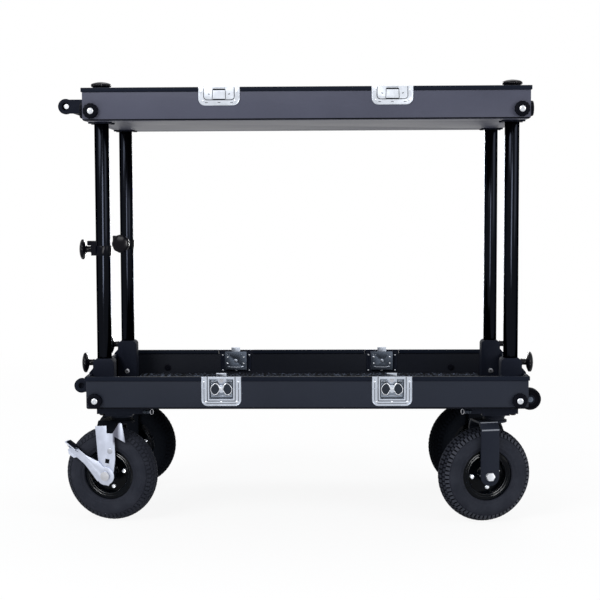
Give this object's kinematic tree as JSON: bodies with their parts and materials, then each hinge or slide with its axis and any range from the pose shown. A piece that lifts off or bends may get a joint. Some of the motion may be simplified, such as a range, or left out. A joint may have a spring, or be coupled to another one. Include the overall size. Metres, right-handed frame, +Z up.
{
  "type": "camera cart",
  "caption": "Two-tier steel equipment cart with open rimmed trays, round posts with clamp knobs, recessed latches, a push bar and swivel casters with pneumatic tyres.",
  "frame": {"origin": "on the ground, under the middle of the cart's outline box", "axes": "+X to the right along the cart's length, away from the push bar, +Y to the rear, +Z up"},
  "size_m": [1.2545, 0.668, 1.155],
  "materials": {
    "lower_panel_paint": "satin",
    "upper_panel_paint": "satin",
    "rim_paint": "satin",
    "liner_foam": "matte",
    "liner_rubber": "matte",
    "bracket_paint": "satin",
    "post_paint": "gloss",
    "collar_paint": "gloss",
    "knob_plastic": "gloss",
    "latch_chrome": "polished",
    "bumper_rubber": "matte",
    "fork_paint": "satin",
    "brake_steel": "polished",
    "tyre_rubber": "matte",
    "wheel_paint": "gloss"
  },
  "bodies": {
    "base": {"lower_panels": "lower_panel_paint", "lower_rim": "rim_paint", "lower_pad": "liner_foam", "base_sockets": "bracket_paint", "latch_dishes": "latch_chrome", "latch_backings": "bracket_paint", "lower_bumpers": "bumper_rubber", "end_brackets": "bracket_paint", "caster_rails": "bracket_paint", "caster_plates": "bracket_paint"},
    "plunger_fl": {"plunger_fl": "knob_plastic"},
    "plunger_fr": {"plunger_fr": "knob_plastic"},
    "plunger_rl": {"plunger_rl": "knob_plastic"},
    "plunger_rr": {"plunger_rr": "knob_plastic"},
    "latch_wing_fl": {"latch_wing_fl": "latch_chrome"},
    "latch_wing_fr": {"latch_wing_fr": "latch_chrome"},
    "latch_wing_rl": {"latch_wing_rl": "latch_chrome"},
    "latch_wing_rr": {"latch_wing_rr": "latch_chrome"},
    "latch_hook_fl": {"latch_hook_fl": "latch_chrome"},
    "latch_hook_fr": {"latch_hook_fr": "latch_chrome"},
    "latch_hook_rl": {"latch_hook_rl": "latch_chrome"},
    "latch_hook_rr": {"latch_hook_rr": "latch_chrome"},
    "base_knob_fl": {"base_knob_fl": "knob_plastic"},
    "base_knob_fr": {"base_knob_fr": "knob_plastic"},
    "base_knob_rl": {"base_knob_rl": "knob_plastic"},
    "base_knob_rr": {"base_knob_rr": "knob_plastic"},
    "end_roller_front": {"end_roller_front": "bumper_rubber"},
    "end_roller_rear": {"end_roller_rear": "bumper_rubber"},
    "fork_fl": {"fork_fl": "fork_paint", "brake_plate_fl": "brake_steel"},
    "fork_fr": {"fork_fr": "fork_paint"},
    "fork_rl": {"fork_rl": "fork_paint", "brake_plate_rl": "brake_steel"},
    "fork_rr": {"fork_rr": "fork_paint"},
    "wheel_fl": {"tyre_fl": "tyre_rubber", "wheel_rim_fl": "wheel_paint"},
    "wheel_fr": {"tyre_fr": "tyre_rubber", "wheel_rim_fr": "wheel_paint"},
    "wheel_rl": {"tyre_rl": "tyre_rubber", "wheel_rim_rl": "wheel_paint"},
    "wheel_rr": {"tyre_rr": "tyre_rubber", "wheel_rim_rr": "wheel_paint"},
    "brake_lever_fl": {"brake_lever_fl": "brake_steel"},
    "brake_lever_rl": {"brake_lever_rl": "brake_steel"},
    "posts": {"posts": "post_paint"},
    "collar_front": {"collar_front": "collar_paint"},
    "collar_knob_front": {"collar_knob_front": "knob_plastic"},
    "collar_rear": {"collar_rear": "collar_paint"},
    "collar_knob_rear": {"collar_knob_rear": "knob_plastic"},
    "upper_tray": {"upper_panels": "upper_panel_paint", "upper_rim": "rim_paint", "upper_mat": "liner_rubber", "upper_sockets": "bracket_paint", "catch_plates": "latch_chrome", "upper_bumpers": "bumper_rubber", "push_handle": "bracket_paint"},
    "top_knob_fl": {"top_knob_fl": "knob_plastic"},
    "top_knob_fr": {"top_knob_fr": "knob_plastic"},
    "top_knob_rl": {"top_knob_rl": "knob_plastic"},
    "top_knob_rr": {"top_knob_rr": "knob_plastic"}
  },
  "joints": [
    {"name": "plunger_fl_pull", "type": "slide", "parent": "base", "child": "plunger_fl", "axis": [0, 0, -1], "range_m": [0, 0.006], "stiffness_N_per_m": 500, "springref_m": -0.002},
    {"name": "plunger_fr_pull", "type": "slide", "parent": "base", "child": "plunger_fr", "axis": [0, 0, -1], "range_m": [0, 0.006], "stiffness_N_per_m": 500, "springref_m": -0.002},
    {"name": "plunger_rl_pull", "type": "slide", "parent": "base", "child": "plunger_rl", "axis": [0, 0, -1], "range_m": [0, 0.006], "stiffness_N_per_m": 500, "springref_m": -0.002},
    {"name": "plunger_rr_pull", "type": "slide", "parent": "base", "child": "plunger_rr", "axis": [0, 0, -1], "range_m": [0, 0.006], "stiffness_N_per_m": 500, "springref_m": -0.002},
    {"name": "latch_wing_fl_turn", "type": "hinge", "parent": "base", "child": "latch_wing_fl", "pos_m": [-0.20025, -0.322, 0.361], "axis": [0, -1, 0], "range_deg": [0, 180]},
    {"name": "latch_wing_fr_turn", "type": "hinge", "parent": "base", "child": "latch_wing_fr", "pos_m": [0.23975, -0.322, 0.361], "axis": [0, -1, 0], "range_deg": [0, 180]},
    {"name": "latch_wing_rl_turn", "type": "hinge", "parent": "base", "child": "latch_wing_rl", "pos_m": [-0.20025, 0.322, 0.361], "axis": [0, 1, 0], "range_deg": [0, 180]},
    {"name": "latch_wing_rr_turn", "type": "hinge", "parent": "base", "child": "latch_wing_rr", "pos_m": [0.23975, 0.322, 0.361], "axis": [0, 1, 0], "range_deg": [0, 180]},
    {"name": "latch_hook_fl_lift", "type": "slide", "parent": "base", "child": "latch_hook_fl", "axis": [0, 0, 1], "range_m": [0, 0.006]},
    {"name": "latch_hook_fr_lift", "type": "slide", "parent": "base", "child": "latch_hook_fr", "axis": [0, 0, 1], "range_m": [0, 0.006]},
    {"name": "latch_hook_rl_lift", "type": "slide", "parent": "base", "child": "latch_hook_rl", "axis": [0, 0, 1], "range_m": [0, 0.006]},
    {"name": "latch_hook_rr_lift", "type": "slide", "parent": "base", "child": "latch_hook_rr", "axis": [0, 0, 1], "range_m": [0, 0.006]},
    {"name": "base_knob_fl_turn", "type": "hinge", "parent": "base", "child": "base_knob_fl", "pos_m": [-0.54175, -0.231, 0.42], "axis": [-1, 0, 0], "continuous": true},
    {"name": "base_knob_fr_turn", "type": "hinge", "parent": "base", "child": "base_knob_fr", "pos_m": [0.58125, -0.231, 0.42], "axis": [1, 0, 0], "continuous": true},
    {"name": "base_knob_rl_turn", "type": "hinge", "parent": "base", "child": "base_knob_rl", "pos_m": [-0.54175, 0.231, 0.42], "axis": [-1, 0, 0], "continuous": true},
    {"name": "base_knob_rr_turn", "type": "hinge", "parent": "base", "child": "base_knob_rr", "pos_m": [0.58125, 0.231, 0.42], "axis": [1, 0, 0], "continuous": true},
    {"name": "end_roller_front_spin", "type": "hinge", "parent": "base", "child": "end_roller_front", "pos_m": [0.59875, -0.276, 0.329], "axis": [0, 1, 0], "continuous": true},
    {"name": "end_roller_rear_spin", "type": "hinge", "parent": "base", "child": "end_roller_rear", "pos_m": [0.59875, 0.276, 0.329], "axis": [0, 1, 0], "continuous": true},
    {"name": "caster_fl_swivel", "type": "hinge", "parent": "base", "child": "fork_fl", "pos_m": [-0.47225, -0.231, 0.262], "axis": [0, 0, 1], "continuous": true},
    {"name": "caster_fr_swivel", "type": "hinge", "parent": "base", "child": "fork_fr", "pos_m": [0.51175, -0.231, 0.262], "axis": [0, 0, 1], "continuous": true},
    {"name": "caster_rl_swivel", "type": "hinge", "parent": "base", "child": "fork_rl", "pos_m": [-0.47225, 0.231, 0.262], "axis": [0, 0, 1], "continuous": true},
    {"name": "caster_rr_swivel", "type": "hinge", "parent": "base", "child": "fork_rr", "pos_m": [0.51175, 0.231, 0.262], "axis": [0, 0, 1], "continuous": true},
    {"name": "wheel_fl_spin", "type": "hinge", "parent": "fork_fl", "child": "wheel_fl", "pos_m": [-0.49866, -0.22539, 0.125], "axis": [0.2079, 0.9781, 0], "continuous": true},
    {"name": "wheel_fr_spin", "type": "hinge", "parent": "fork_fr", "child": "wheel_fr", "pos_m": [0.48555, -0.23753, 0.125], "axis": [-0.2419, 0.9703, 0], "continuous": true},
    {"name": "wheel_rl_spin", "type": "hinge", "parent": "fork_rl", "child": "wheel_rl", "pos_m": [-0.49899, 0.23476, 0.125], "axis": [0.1392, 0.9903, 0], "continuous": true},
    {"name": "wheel_rr_spin", "type": "hinge", "parent": "fork_rr", "child": "wheel_rr", "pos_m": [0.48748, 0.21916, 0.125], "axis": [-0.4384, 0.8988, 0], "continuous": true},
    {"name": "brake_fl_press", "type": "hinge", "parent": "fork_fl", "child": "brake_lever_fl", "pos_m": [-0.49866, -0.22539, 0.125], "axis": [-0.2079, -0.9781, 0], "range_deg": [0, 35]},
    {"name": "brake_rl_press", "type": "hinge", "parent": "fork_rl", "child": "brake_lever_rl", "pos_m": [-0.49899, 0.23476, 0.125], "axis": [-0.1392, -0.9903, 0], "range_deg": [0, 35]},
    {"name": "posts_lift", "type": "slide", "parent": "base", "child": "posts", "axis": [0, 0, 1], "range_m": [0, 0.11]},
    {"name": "collar_front_slide", "type": "slide", "parent": "posts", "child": "collar_front", "axis": [0, 0, 1], "range_m": [-0.24, 0.29]},
    {"name": "collar_knob_front_turn", "type": "hinge", "parent": "collar_front", "child": "collar_knob_front", "pos_m": [-0.54475, -0.231, 0.7195], "axis": [-1, 0, 0], "continuous": true},
    {"name": "collar_rear_slide", "type": "slide", "parent": "posts", "child": "collar_rear", "axis": [0, 0, 1], "range_m": [-0.24, 0.29]},
    {"name": "collar_knob_rear_turn", "type": "hinge", "parent": "collar_rear", "child": "collar_knob_rear", "pos_m": [-0.52099, 0.20166, 0.7195], "axis": [-0.2079, -0.9781, 0], "continuous": true},
    {"name": "upper_tray_lift", "type": "slide", "parent": "posts", "child": "upper_tray", "axis": [0, 0, 1], "range_m": [0, 0.065]},
    {"name": "top_knob_fl_turn", "type": "hinge", "parent": "upper_tray", "child": "top_knob_fl", "pos_m": [-0.51475, -0.231, 1.123], "axis": [0, 0, 1], "continuous": true},
    {"name": "top_knob_fr_turn", "type": "hinge", "parent": "upper_tray", "child": "top_knob_fr", "pos_m": [0.55425, -0.231, 1.123], "axis": [0, 0, 1], "continuous": true},
    {"name": "top_knob_rl_turn", "type": "hinge", "parent": "upper_tray", "child": "top_knob_rl", "pos_m": [-0.51475, 0.231, 1.123], "axis": [0, 0, 1], "continuous": true},
    {"name": "top_knob_rr_turn", "type": "hinge", "parent": "upper_tray", "child": "top_knob_rr", "pos_m": [0.55425, 0.231, 1.123], "axis": [0, 0, 1], "continuous": true}
  ],
  "couplings": [
    {"joint": "latch_hook_fl_lift", "follows": "latch_wing_fl_turn", "m_per_rad": 0.0019},
    {"joint": "latch_hook_fr_lift", "follows": "latch_wing_fr_turn", "m_per_rad": 0.0019},
    {"joint": "latch_hook_rl_lift", "follows": "latch_wing_rl_turn", "m_per_rad": 0.0019},
    {"joint": "latch_hook_rr_lift", "follows": "latch_wing_rr_turn", "m_per_rad": 0.0019}
  ]
}
